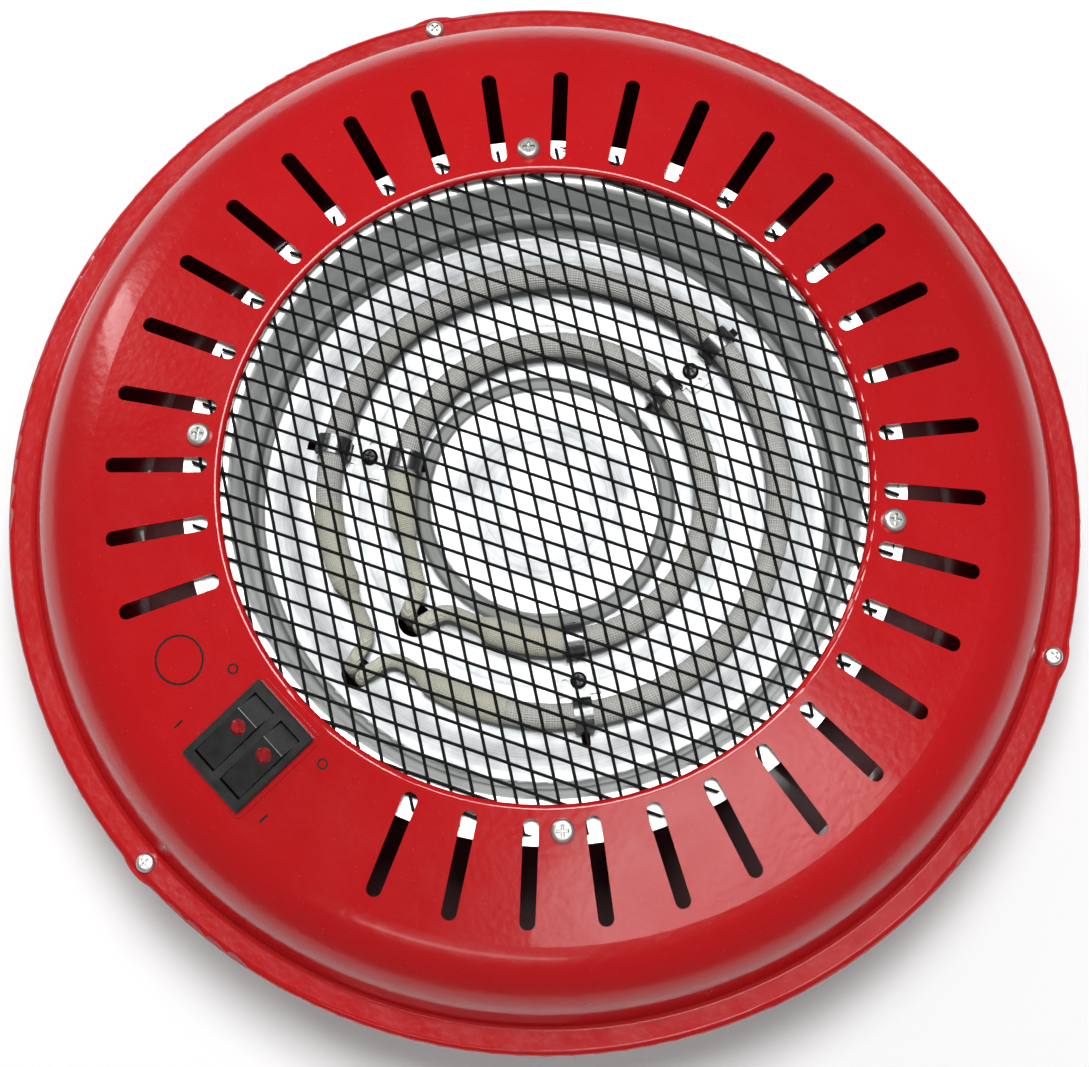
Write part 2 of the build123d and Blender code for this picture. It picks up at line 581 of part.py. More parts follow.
for name, x in (("left", -ROCKER_SPACING / 2), ("right", ROCKER_SPACING / 2)):
    centre = pivot_plane.from_local_coords((x, 0.0, 0.0))
    side_plane = Plane(origin=centre, x_dir=pivot_plane.y_dir, z_dir=pivot_plane.x_dir)
    level_plane = Plane(origin=centre, x_dir=pivot_plane.x_dir, z_dir=pivot_plane.z_dir)
    middle_plane = level_plane.rotated((-ROCKER_THROW / 2, 0, 0))
    face_drop = math.degrees(math.atan2(2.0, 18.4))
    lens_plane = Plane(
        origin=level_plane.from_local_coords((0.0, LENS_OFFSET, 3.87)),
        x_dir=level_plane.x_dir, z_dir=level_plane.rotated((face_drop, 0, 0)).z_dir,
    )

    with BuildPart() as rocker:
        with BuildSketch(side_plane):
            with BuildLine():
                FilletPolyline(
                    (-12.3, 2.3), (6.1, 4.3), (12.3, 0.3), (12.0, -2.2),
                    (7.5, -4.8), (-7.5, -4.8), (-12.0, -2.2),
                    radius=[0.5, 0.6, 0.5, 0.8, 1.0, 1.0, 0.8], close=True,
                )
            make_face()
        extrude(amount=ROCKER_WIDTH / 2, both=True)
        with BuildSketch(middle_plane):
            Circle(1.8)
        extrude(amount=-7.0)
        with BuildSketch(side_plane):
            Circle(TRUNNION_RADIUS)
        extrude(amount=ROCKER_WIDTH / 2 + TRUNNION_LENGTH, both=True)
        with BuildSketch(middle_plane.offset(-7.0)):
            Circle(1.1)
        extrude(amount=4.6, mode=Mode.SUBTRACT)
        with BuildSketch(lens_plane.offset(1.0)):
            Circle(LENS_RADIUS)
        extrude(amount=-3.4, mode=Mode.SUBTRACT)
        with BuildSketch(lens_plane.offset(-2.4)):
            Circle(1.4)
        extrude(amount=-2.4, mode=Mode.SUBTRACT)
    rocker.part.label = f"rocker_{name}"
    export_step(rocker.part, f"parts/rocker_{name}.step")

    with BuildPart() as lens:
        with BuildSketch(lens_plane.offset(-2.4)):
            Circle(LENS_RADIUS)
        extrude(amount=2.6)
        with BuildSketch(lens_plane.offset(0.2)):
            RegularPolygon(LENS_RADIUS, 12)
        extrude(amount=0.9, taper=38)
    lens.part.label = f"lens_{name}"
    export_step(lens.part, f"parts/lens_{name}.step")

    with BuildPart() as neon_lamp:
        with BuildSketch(lens_plane.offset(-4.8)):
            Circle(1.4)
        extrude(amount=2.4)
        fillet(neon_lamp.edges().filter_by(GeomType.CIRCLE), 0.5)
    neon_lamp.part.label = f"neon_lamp_{name}"
    export_step(neon_lamp.part, f"parts/neon_lamp_{name}.step")

    with BuildPart() as plunger:
        with BuildSketch(middle_plane.offset(-8.8)):
            Circle(1.1)
        extrude(amount=3.4)
        fillet(plunger.edges().filter_by(GeomType.CIRCLE).sort_by(Axis(centre, middle_plane.z_dir))[0], 0.8)
    plunger.part.label = f"plunger_{name}"
    export_step(plunger.part, f"parts/plunger_{name}.step")

    lever_plane = level_plane.offset(-LEVER_PIVOT_DEPTH).rotated((LEVER_TILT, 0, 0))
    with BuildPart() as contact_lever:
        with BuildSketch(lever_plane.offset(-LEVER_SIZE[2] / 2)):
            Rectangle(LEVER_SIZE[0], LEVER_SIZE[1])
        extrude(amount=LEVER_SIZE[2])
        # round bead pressed across the lever on its pivot line
        bead_plane = Plane(origin=lever_plane.origin, x_dir=lever_plane.y_dir, z_dir=lever_plane.x_dir)
        with BuildSketch(bead_plane):
            Circle(LEVER_BEAD_RADIUS)
        extrude(amount=LEVER_SIZE[0] / 2, both=True)
    contact_lever.part.label = f"contact_lever_{name}"
    export_step(contact_lever.part, f"parts/contact_lever_{name}.step")


# ---------------------------------------------------------------- feet
for number, plane in enumerate(foot_planes, start=1):
    with BuildPart() as foot:
        with BuildSketch(plane):
            Circle(FOOT_RADIUS)
        extrude(amount=PAN_FLOOR_BOTTOM)
        chamfer(foot.edges().group_by(Axis.Z)[0], 1.0)
        with BuildSketch(plane):
            Circle(4.2)
        extrude(amount=3.6, mode=Mode.SUBTRACT)
        with BuildSketch(plane.offset(3.6)):
            Circle(2.0)
        extrude(amount=PAN_FLOOR_BOTTOM - 3.6, mode=Mode.SUBTRACT)
    foot.part.label = f"foot_{number}"
    export_step(foot.part, f"parts/foot_{number}.step")

foot_screw_planes = [Plane(origin=p.origin + (0, 0, 3.6), x_dir=(1, 0, 0), z_dir=(0, 0, -1)) for p in foot_planes]
foot_screws = pan_head_screws(foot_screw_planes, 3.6, 2.4, 2.0, 9.4)
foot_screws.part.label = "foot_screws"
export_step(foot_screws.part, "parts/foot_screws.step")

foot_nut_planes = [Plane(origin=p.origin + (0, 0, PAN_FLOOR + 3.0)) for p in foot_planes]
foot_nuts = hex_nuts(foot_nut_planes, 7.0, 3.0, 2.0)
foot_nuts.part.label = "foot_nuts"
export_step(foot_nuts.part, "parts/foot_nuts.step")


# ---------------------------------------------------------------- cable inlet bush in the rear wall
with BuildPart() as cable_bush:
    with BuildSketch(inlet_plane.offset(-0.3)):
        Circle(INLET_RADIUS + 1.8)
    extrude(amount=-2.2)
    with BuildSketch(inlet_plane.offset(-0.3)):
        Circle(INLET_RADIUS - 0.05)
    extrude(amount=1.4)
    with BuildSketch(inlet_plane.offset(PAN_SHEET + 0.1)):
        Circle(INLET_RADIUS + 1.8)
    extrude(amount=3.6)
    chamfer(cable_bush.edges().group_by(Axis(inlet_plane.origin, inlet_plane.z_dir))[-1], 0.6)
    with BuildSketch(inlet_plane.offset(-2.5)):
        Circle(INLET_BORE)
    extrude(amount=7.0, mode=Mode.SUBTRACT)
cable_bush.part.label = "cable_bush"
export_step(cable_bush.part, "parts/cable_bush.step")


# ---------------------------------------------------------------- terminal block on the pan floor
block_plane = Plane(origin=(0.0, BLOCK_Y, PAN_FLOOR))
with BuildPart() as terminal_block:
    with BuildSketch(block_plane):
        RectangleRounded(BLOCK_SIZE[0], BLOCK_SIZE[1], 2.0)
    extrude(amount=BLOCK_SIZE[2])
    chamfer(terminal_block.edges().group_by(Axis.Z)[-1], 1.0)
    with BuildSketch(Plane(origin=(0.0, BLOCK_Y - BLOCK_SIZE[1] / 2, PAN_FLOOR + 8.0), x_dir=(1, 0, 0), z_dir=(0, -1, 0))):
        with GridLocations(BLOCK_PITCH, 0.0, 3, 1):
            Circle(2.6)
    extrude(amount=-BLOCK_SIZE[1], mode=Mode.SUBTRACT)
    with BuildSketch(block_plane.offset(BLOCK_SIZE[2])):
        with GridLocations(BLOCK_PITCH, 9.0, 3, 2):
            Circle(1.8)
    extrude(amount=-BLOCK_SIZE[2] / 2, mode=Mode.SUBTRACT)
    with BuildSketch(block_plane):
        with GridLocations(BLOCK_PITCH, 0.0, 2, 1):
            Circle(1.5)
    extrude(amount=4.0, mode=Mode.SUBTRACT)
terminal_block.part.label = "terminal_block"
export_step(terminal_block.part, "parts/terminal_block.step")

insert_plane = Plane(origin=(0.0, BLOCK_Y + 8.0, PAN_FLOOR + 8.0), x_dir=(1, 0, 0), z_dir=(0, -1, 0))
with BuildPart() as terminal_inserts:
    with BuildSketch(insert_plane):
        with GridLocations(BLOCK_PITCH, 0.0, 3, 1):
            Circle(2.6)
            Circle(1.5, mode=Mode.SUBTRACT)
    extrude(amount=16.0)
    with BuildSketch(block_plane.offset(BLOCK_SIZE[2])):
        with GridLocations(BLOCK_PITCH, 9.0, 3, 2):
            Circle(1.3)
    extrude(amount=-BLOCK_SIZE[2] / 2, mode=Mode.SUBTRACT)
terminal_inserts.part.label = "terminal_inserts"
export_step(terminal_inserts.part, "parts/terminal_inserts.step")

clamp_planes = [
    Plane(origin=(BLOCK_PITCH * i, BLOCK_Y + 4.5 * j, PAN_FLOOR + 11.2)) for i in (-1, 0, 1) for j in (-1, 1)
]
terminal_screws = pan_head_screws(clamp_planes, 1.7, 1.6, 1.3, 1.8)
terminal_screws.part.label = "terminal_screws"
export_step(terminal_screws.part, "parts/terminal_screws.step")

block_screw_planes = [
    Plane(origin=(x, BLOCK_Y, PAN_FLOOR_BOTTOM), x_dir=(1, 0, 0), z_dir=(0, 0, -1))
    for x in (-BLOCK_PITCH / 2, BLOCK_PITCH / 2)
]
block_screws = pan_head_screws(block_screw_planes, 2.7, 1.8, 1.5, 4.6)
block_screws.part.label = "block_screws"
export_step(block_screws.part, "parts/block_screws.step")

earth_plane = Plane(origin=(60.0, BLOCK_Y - 10.0, PAN_FLOOR_BOTTOM), x_dir=(1, 0, 0), z_dir=(0, 0, -1))
earth_screw = pan_head_screws([earth_plane], 3.6, 2.4, 2.0, 12.0)
earth_screw.part.label = "earth_screw"
export_step(earth_screw.part, "parts/earth_screw.step")

with BuildPart() as earth_ring:
    with BuildSketch(Plane(origin=(60.0, BLOCK_Y - 10.0, PAN_FLOOR))):
        Circle(4.0)
        with Locations((-6.0, 0.0)):
            Rectangle(8.0, 3.0)
        Circle(2.0, mode=Mode.SUBTRACT)
    extrude(amount=0.8)
earth_ring.part.label = "earth_ring"
export_step(earth_ring.part, "parts/earth_ring.step")

earth_nut = hex_nuts([Plane(origin=(60.0, BLOCK_Y - 10.0, PAN_FLOOR + 3.8))], 7.0, 3.0, 2.0)
earth_nut.part.label = "earth_nut"
export_step(earth_nut.part, "parts/earth_nut.step")


# ---------------------------------------------------------------- thermal cut-out on a strap under the rear clip
rear_screw_y = ELEMENT_CENTRE_Y + CLIP_CIRCLE
strap_height = REFLECTOR_FLOOR - REFLECTOR_SHEET
with BuildPart() as cutout_strap:
    with BuildSketch(Plane.YZ):
        with BuildLine():
            FilletPolyline(
                (rear_screw_y + 6.0, strap_height), (rear_screw_y - 8.0, strap_height),
                (rear_screw_y - 12.0, strap_height - 6.0), (CUTOUT_Y - 15.0, strap_height - 6.0),
                radius=[1.5, 1.5],
            )
            offset(amount=0.8, side=Side.LEFT)
        make_face()
    extrude(amount=6.0, both=True)
    with BuildSketch(Plane.XY.offset(strap_height + 1)):
        with Locations((0.0, rear_screw_y)):
            Circle(1.6)
        with Locations((0.0, CUTOUT_Y + 12.0), (0.0, CUTOUT_Y - 12.0)):
            Circle(1.5)
    extrude(amount=-10.0, mode=Mode.SUBTRACT)
cutout_strap.part.label = "cutout_strap"
export_step(cutout_strap.part, "parts/cutout_strap.step")

clip_nut_planes = [plane.offset(-REFLECTOR_SHEET) for plane in clip_planes]
clip_nut_planes[0] = clip_nut_planes[0].offset(-0.8)
clip_nuts = hex_nuts(clip_nut_planes, 5.5, 2.4, 1.6)
clip_nuts.part.label = "clip_nuts"
export_step(clip_nuts.part, "parts/clip_nuts.step")

cutout_plane = Plane(origin=(0.0, CUTOUT_Y, strap_height - 6.8))
with BuildPart() as thermal_cutout:
    with BuildSketch(cutout_plane):
        SlotOverall(31.0, 7.0, rotation=90)
        Circle(8.0)
    extrude(amount=-0.8)
    with BuildSketch(cutout_plane.offset(-0.8)):
        Circle(7.8)
    extrude(amount=-9.0)
    with BuildSketch(cutout_plane.offset(-9.8)):
        with Locations((0.0, -4.0), (0.0, 4.0)):
            Rectangle(5.0, 0.8)
    extrude(amount=-7.0)
    with BuildSketch(cutout_plane):
        with Locations((0.0, 12.0), (0.0, -12.0)):
            Circle(1.5)
    extrude(amount=-0.8, mode=Mode.SUBTRACT)
thermal_cutout.part.label = "thermal_cutout"
export_step(thermal_cutout.part, "parts/thermal_cutout.step")

cutout_rivet_planes = [
    Plane(origin=(0.0, CUTOUT_Y + y, strap_height - 6.0)) for y in (-12.0, 12.0)
]
with BuildPart() as cutout_rivets:
    with BuildSketch(*cutout_rivet_planes):
        Circle(2.6)
    extrude(amount=0.9)
    with BuildSketch(*cutout_rivet_planes):
        Circle(1.5)
    extrude(amount=-1.6)
    with BuildSketch(*[plane.offset(-1.6) for plane in cutout_rivet_planes]):
        Circle(2.4)
    extrude(amount=-0.8)
cutout_rivets.part.label = "cutout_rivets"
export_step(cutout_rivets.part, "parts/cutout_rivets.step")


# ---------------------------------------------------------------- leads under the reflector
def terminal_tip(x_side, offset_y):
    """Lower end of one switch blade."""
    return pivot_plane.from_local_coords((x_side * ROCKER_SPACING / 2, offset_y, -(HOUSING_DEPTH + PIVOT_HEIGHT + 8.0)))


blade_down = pivot_plane.z_dir * -1
block_hole = PAN_FLOOR + 8.0
cutout_blade = cutout_plane.origin.Z - 16.8


def from_blade(x_side, offset_y, drop):
    tip = terminal_tip(x_side, offset_y)
    return [tip, tip + blade_down * drop]


lead_routes = {
    "lead_supply_brown": [
        (-BLOCK_PITCH, BLOCK_Y - 8.0, block_hole), (-BLOCK_PITCH, BLOCK_Y - 24.0, block_hole),
        (-14.0, BLOCK_Y - 42.0, 22.0), (-6.0, 42.0, 24.0), (0.0, CUTOUT_Y + 4.0, cutout_blade - 10.0),
        (0.0, CUTOUT_Y + 4.0, cutout_blade),
    ],
    "lead_switch_brown": [
        (0.0, CUTOUT_Y - 4.0, cutout_blade), (0.0, CUTOUT_Y - 4.0, cutout_blade - 10.0),
        (-12.0, 0.0, 22.0), (-22.0, -34.0, 20.0), (-20.0, -72.0, 20.0), (-8.0, -98.0, 26.0),
    ] + from_blade(-1, 0.0, 11.0)[::-1],
    "lead_inner_live": [
        splice_places["inner", 1], splice_places["inner", 1] + Vector(0, 0, -8.0),
        (10.0, -72.0, 22.0), (14.0, -92.0, 26.0),
    ] + from_blade(1, 6.0, 9.0)[::-1],
    "lead_outer_live": [
        splice_places["outer", 1], splice_places["outer", 1] + Vector(0, 0, -6.0),
        (-3.0, -94.0, 25.0),
    ] + from_blade(-1, 6.0, 9.0)[::-1],
    "lead_outer_blue": [
        splice_places["outer", -1], splice_places["outer", -1] + Vector(0, 0, -8.0),
        (-12.0, -66.0, 16.0), (-30.0, -30.0, 13.0), (-34.0, 20.0, 13.0), (-16.0, 58.0, 14.0),
        (-1.3, 74.0, block_hole), (-1.3, BLOCK_Y - 8.0, block_hole),
    ],
    "lead_inner_blue": [
        splice_places["inner", -1], splice_places["inner", -1] + Vector(0, 0, -8.0),
        (4.0, -36.0, 16.0), (24.0, -6.0, 13.0), (26.0, 32.0, 13.0), (12.0, 60.0, 14.0),
        (1.3, 76.0, block_hole), (1.3, BLOCK_Y - 8.0, block_hole),
    ],
    "lead_earth": [
        (BLOCK_PITCH, BLOCK_Y - 8.0, block_hole), (BLOCK_PITCH, BLOCK_Y - 22.0, block_hole),
        (22.0, BLOCK_Y - 30.0, 13.0), (36.0, BLOCK_Y - 10.0, PAN_FLOOR + 1.4),
        (49.95, BLOCK_Y - 10.0, PAN_FLOOR + 1.4),
    ],
}
for node, points in lead_routes.items():
    lead = lead_tube([Vector(*point) if isinstance(point, tuple) else point for point in points])
    lead.part.label = node
    export_step(lead.part, f"parts/{node}.step")
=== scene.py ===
import math

import bmesh
import bpy
from mathutils import Matrix, Vector


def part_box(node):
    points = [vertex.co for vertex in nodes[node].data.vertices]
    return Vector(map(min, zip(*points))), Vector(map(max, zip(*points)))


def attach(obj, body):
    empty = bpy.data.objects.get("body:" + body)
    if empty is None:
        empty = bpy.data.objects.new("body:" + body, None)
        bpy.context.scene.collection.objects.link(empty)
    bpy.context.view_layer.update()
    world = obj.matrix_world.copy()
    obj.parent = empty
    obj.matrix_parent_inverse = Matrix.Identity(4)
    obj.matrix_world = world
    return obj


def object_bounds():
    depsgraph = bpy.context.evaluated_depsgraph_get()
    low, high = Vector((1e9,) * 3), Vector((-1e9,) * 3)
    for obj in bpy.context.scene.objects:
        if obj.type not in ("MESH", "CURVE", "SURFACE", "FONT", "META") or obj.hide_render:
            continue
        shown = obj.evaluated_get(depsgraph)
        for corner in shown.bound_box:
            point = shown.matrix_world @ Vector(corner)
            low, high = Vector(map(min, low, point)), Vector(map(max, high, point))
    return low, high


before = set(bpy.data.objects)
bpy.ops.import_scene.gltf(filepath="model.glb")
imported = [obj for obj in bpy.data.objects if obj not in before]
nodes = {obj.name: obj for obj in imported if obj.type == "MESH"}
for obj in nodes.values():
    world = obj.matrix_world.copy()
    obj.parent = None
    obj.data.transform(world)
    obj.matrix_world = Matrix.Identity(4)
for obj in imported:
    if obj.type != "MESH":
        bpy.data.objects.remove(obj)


def plain_box(low_high):
    return [[round(float(value), 6) for value in corner] for corner in low_high]


cad_box = plain_box(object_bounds())
scene = bpy.context.scene
ROOT = "frame"

# ------------------------------------------------------------------ sizes of the object, in metres
COVER_SHEET = 0.0008
RIM_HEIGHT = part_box("base_pan")[1].z + COVER_SHEET  # top of the cover's flange
REFLECTOR_FLOOR = RIM_HEIGHT
OPENING_RADIUS = 0.1003
OPENING_TOP = RIM_HEIGHT + 0.03655
CONE_ANGLE = math.radians(10.06)
SWITCH_Y = -0.1215

ROPE_RADIUS = 0.004
RING_CENTRE = Vector((0.0, 0.004, RIM_HEIGHT + 0.0055))
RING_RADII = {"inner": 0.0495, "outer": 0.073}
ROPE_STRAND = 0.0017
SLEEVE_STRAND = 0.0012

# heights that bound the reflector's painted light and shade: its wall and disc step get lighter tones
# than its floor
DISC_RISE = (0.0022, 0.0028)  # the step up to the middle disc of the bowl
WALL_RISE = (0.0042, 0.0075)  # where the bowl's wall starts
FLOOR_SKIN = (0.0002, 0.0008)  # just clear of the flat floor

INK_LIFT = 0.00004
INK_THICKNESS = 0.00004


def cone_height(radius):
    """Height of the cover's sloped ring at a distance from the axis."""
    return OPENING_TOP - (radius - OPENING_RADIUS) * math.tan(CONE_ANGLE)


# ------------------------------------------------------------------ material helpers
class Nodes:
    """Short names for building the node tree of one material, placed by object coordinates."""

    def __init__(self, name):
        self.material = bpy.data.materials.new(name)
        self.material.use_nodes = True
        self.tree = self.material.node_tree
        self.shader = self.tree.nodes["Principled BSDF"]
        coordinates = self.tree.nodes.new("ShaderNodeTexCoord")
        self.place = coordinates.outputs["Object"]

    def link(self, value, socket):
        """Join a node's output to a socket, or write a plain number or colour on it."""
        if isinstance(value, bpy.types.NodeSocket):
            self.tree.links.new(value, socket)
        elif isinstance(value, tuple) and len(socket.default_value) == 4 and len(value) == 3:
            socket.default_value = (*value, 1.0)
        else:
            socket.default_value = value

    def set(self, name, value):
        self.link(value, self.shader.inputs[name])

    def maths(self, operation, *values):
        node = self.tree.nodes.new("ShaderNodeMath")
        node.operation = operation
        for value, socket in zip(values, node.inputs):
            self.link(value, socket)
        return node.outputs[0]

    def times(self, first, second):
        return self.maths("MULTIPLY", first, second)

    def plus(self, first, second):
        return self.maths("ADD", first, second)

    def minus(self, first, second):
        return self.maths("SUBTRACT", first, second)

    def length(self, x, y):
        return self.maths("SQRT", self.plus(self.times(x, x), self.times(y, y)))

    def stretched(self, factors):
        """Object coordinates multiplied by a factor for each axis."""
        node = self.tree.nodes.new("ShaderNodeVectorMath")
        node.operation = "MULTIPLY"
        self.link(self.place, node.inputs[0])
        node.inputs[1].default_value = factors
        return node.outputs[0]

    def noise(self, scale, detail=3.0, roughness=0.55, vector=None):
        node = self.tree.nodes.new("ShaderNodeTexNoise")
        node.inputs["Scale"].default_value = scale
        node.inputs["Detail"].default_value = detail
        node.inputs["Roughness"].default_value = roughness
        self.link(vector or self.place, node.inputs["Vector"])
        return node.outputs["Fac"]

    def cells(self, scale):
        node = self.tree.nodes.new("ShaderNodeTexVoronoi")
        node.inputs["Scale"].default_value = scale
        self.link(self.place, node.inputs["Vector"])
        return node.outputs["Distance"]

    def spread(self, value, low, high, to_low=0.0, to_high=1.0):
        """Map the range from low to high onto another range, clamped."""
        node = self.tree.nodes.new("ShaderNodeMapRange")
        self.link(value, node.inputs["Value"])
        limits = (("From Min", low), ("From Max", high), ("To Min", to_low), ("To Max", to_high))
        for name, number in limits:
            node.inputs[name].default_value = number
        return node.outputs["Result"]

    def blend(self, amount, first, second):
        node = self.tree.nodes.new("ShaderNodeMix")
        node.data_type = "RGBA"
        self.link(amount, node.inputs["Factor"])
        self.link(first, node.inputs["A"])
        self.link(second, node.inputs["B"])
        return node.outputs["Result"]

    def bump(self, height, strength, distance, under=None):
        node = self.tree.nodes.new("ShaderNodeBump")
        node.inputs["Strength"].default_value = strength
        node.inputs["Distance"].default_value = distance
        self.link(height, node.inputs["Height"])
        if under is not None:
            self.link(under, node.inputs["Normal"])
        return node.outputs["Normal"]

    def xyz(self):
        node = self.tree.nodes.new("ShaderNodeSeparateXYZ")
        self.link(self.place, node.inputs[0])
        return node.outputs["X"], node.outputs["Y"], node.outputs["Z"]

    def combine(self, x, y, z):
        node = self.tree.nodes.new("ShaderNodeCombineXYZ")
        for value, socket in zip((x, y, z), node.inputs):
            self.link(value, socket)
        return node.outputs[0]

    def edges(self):
        """Near 1 on convex edges, for rubbed wear; on plastic, partly a painted edge highlight."""
        node = self.tree.nodes.new("ShaderNodeNewGeometry")
        return self.spread(node.outputs["Pointiness"], 0.52, 0.60)


# ------------------------------------------------------------------ materials
def enamel(name, colour, deep, roughness):
    """Glossy sprayed enamel: orange peel, slow colour drift, fine specks, faint scuffs."""
    m = Nodes(name)
    drift = m.spread(m.noise(9.0, 2.0), 0.35, 0.65)
    body = m.blend(drift, colour, deep)
    specks = m.spread(m.noise(1400.0, 1.0), 0.72, 0.78)
    body = m.blend(m.times(specks, 0.35), body, (0.62, 0.10, 0.09))
    m.set("Base Color", body)
    scuffs = m.noise(55.0, 6.0, 0.7)
    m.set("Roughness", m.spread(scuffs, 0.35, 0.75, roughness, roughness + 0.12))
    m.set("Coat Weight", 0.25)
    m.set("Coat Roughness", 0.06)
    m.set("IOR", 1.45)
    orange_peel = m.bump(m.noise(420.0, 2.0, 0.4), 0.22, 0.0004)
    m.set("Normal", m.bump(m.noise(38.0, 2.0), 0.05, 0.001, orange_peel))
    return m.material


def metal(name, colour, dark, roughness, grain_scale=(900.0, 900.0, 90.0), wear=0.5):
    """Sheet or bar metal with a fine grain, cloudy tone and brighter rubbed edges."""
    m = Nodes(name)
    cloud = m.spread(m.noise(60.0, 4.0), 0.3, 0.7)
    grain = m.noise(1.0, 3.0, 0.6, m.stretched(grain_scale))
    tone = m.blend(cloud, colour, dark)
    tone = m.blend(m.times(m.edges(), wear), tone, (0.85, 0.85, 0.83))
    m.set("Base Color", tone)
    m.set("Metallic", 1.0)
    m.set("Roughness", m.spread(grain, 0.2, 0.8, roughness, roughness + 0.2))
    m.set("Normal", m.bump(grain, 0.25, 0.00006))
    return m.material


def coated_wire(name, colour, greyer):
    """Black stove coating on steel wire, thin and greyer in places."""
    m = Nodes(name)
    worn = m.spread(m.noise(300.0, 4.0, 0.7), 0.55, 0.75)
    m.set("Base Color", m.blend(m.times(worn, 0.5), colour, greyer))
    m.set("Roughness", m.spread(worn, 0.0, 1.0, 0.5, 0.7))
    m.set("IOR", 1.2)
    m.set("Normal", m.bump(m.noise(1500.0, 2.0), 0.2, 0.00005))
    return m.material


def plastic(name, colour, lighter, roughness):
    """Moulded plastic: fine spark texture, slight mottling, lighter edges that are part rubbed wear and
    part painted highlight.
    """
    m = Nodes(name)
    mottle = m.spread(m.noise(220.0, 4.0), 0.35, 0.7)
    tone = m.blend(m.times(mottle, 0.5), colour, lighter)
    # lighter convex edges: part rubbed wear, part painted highlight such as the bright edge of the switch
    # bezel
    tone = m.blend(m.times(m.edges(), 0.5), tone, lighter)
    m.set("Base Color", tone)
    m.set("Roughness", m.spread(m.noise(160.0, 4.0), 0.3, 0.7, roughness, roughness + 0.15))
    m.set("Normal", m.bump(m.noise(1600.0, 2.0), 0.12, 0.0001))
    return m.material


def spun_reflector(name, painted_light_wall_tones, painted_shade_floor_tones):
    """Bright pressed metal with concentric spinning lines and cloudy marks; the flat floor is painted
    darker (painted shade), the wall and the step up to the middle disc painted lighter (painted light).
    """
    m = Nodes(name)
    x, y, z = m.xyz()
    run = m.combine(m.length(x, y), m.times(z, 0.6), 0.0)
    lines = m.noise(1500.0, 3.0, 0.7, run)
    broad = m.noise(140.0, 2.0, 0.5, run)
    cloud = m.times(m.spread(m.noise(70.0, 5.0, 0.65), 0.30, 0.75), 0.45)
    bands = m.times(m.spread(broad, 0.35, 0.65), 0.4)
    fine = m.times(m.spread(lines, 0.35, 0.65), 0.25)
    streaks = m.plus(cloud, m.plus(bands, fine))
    on_wall = m.spread(z, *(REFLECTOR_FLOOR + rise for rise in WALL_RISE))
    above_floor = m.spread(z, *(REFLECTOR_FLOOR + rise for rise in FLOOR_SKIN))
    below_disc = m.spread(z, *(REFLECTOR_FLOOR + rise for rise in reversed(DISC_RISE)))
    # painted light and shade: the wall and the step up to the middle disc take the lighter tones, the
    # flat floor the darker ones
    steep_painted_light_mask = m.maths("MAXIMUM", on_wall, m.times(above_floor, below_disc))
    m.set("Base Color", m.blend(steep_painted_light_mask, m.blend(streaks, *painted_shade_floor_tones), m.blend(streaks, *painted_light_wall_tones)))
    m.set("Metallic", 0.45)
    m.set("Roughness", m.spread(streaks, 0.0, 1.0, 0.24, 0.40))
    m.set("Normal", m.bump(broad, 0.3, 0.0006, m.bump(lines, 0.35, 0.0001)))
    return m.material


def ring_coordinates(m, radius):
    """Length along an element ring and round its section, both in metres."""
    x, y, z = m.xyz()
    y = m.minus(y, RING_CENTRE.y)
    z = m.minus(z, RING_CENTRE.z)
    spoke = m.length(x, y)
    along = m.times(m.maths("ARCTAN2", y, x), radius)
    around = m.times(m.maths("ARCTAN2", z, m.minus(spoke, radius)), ROPE_RADIUS)
    return along, around


def braid(name, radius, strand, light, dark, stain):
    """Glass fibre braid: two sets of slanting strands that pass over and under each other, with painted
    shade in the hollows between them.
    """
    m = Nodes(name)
    along, around = ring_coordinates(m, radius)
    step = 2 * math.pi / strand
    first = m.maths("SINE", m.times(m.plus(along, around), step))
    second = m.maths("SINE", m.times(m.minus(along, around), step))
    over = m.maths("SINE", m.times(along, step))
    weave = m.plus(m.times(first, second), m.times(over, 0.35))
    fibre_place = m.combine(m.times(along, 2500.0), m.times(around, 2500.0), 0.0)
    fibres = m.noise(1.0, 2.0, 0.6, fibre_place)
    patch = m.spread(m.noise(150.0, 5.0, 0.65), 0.42, 0.60)
    # painted shade: the low parts of the weave take the dark tone, the raised strands the light one
    tone = m.blend(m.spread(weave, -0.8, 0.8), dark, light)
    m.set("Base Color", m.blend(m.times(patch, 0.75), tone, stain))
    m.set("Roughness", 0.85)
    m.set("Sheen Weight", 0.15)
    m.set("Normal", m.bump(weave, 0.7, 0.0005, m.bump(fibres, 0.3, 0.0001)))
    return m.material


def rubbery(name, colour, lighter, roughness=0.6):
    """Rubber or soft insulation with patches of dust."""
    m = Nodes(name)
    dust = m.spread(m.noise(90.0, 5.0, 0.65), 0.45, 0.75)
    m.set("Base Color", m.blend(m.times(dust, 0.6), colour, lighter))
    m.set("Roughness", m.spread(dust, 0.0, 1.0, roughness, roughness + 0.2))
    m.set("Normal", m.bump(m.noise(800.0, 3.0), 0.15, 0.0002))
    return m.material


def ruby(name, bright, deep):
    """Tinted clear plastic of an indicator lens."""
    m = Nodes(name)
    glow = m.spread(m.noise(700.0, 3.0), 0.3, 0.7)
    m.set("Base Color", m.blend(glow, bright, deep))
    m.set("Roughness", m.spread(glow, 0.0, 1.0, 0.08, 0.2))
    m.set("Transmission Weight", 0.25)
    m.set("IOR", 1.49)
    m.set("Coat Weight", 0.6)
    m.set("Normal", m.bump(m.cells(900.0), 0.15, 0.0003))
    return m.material


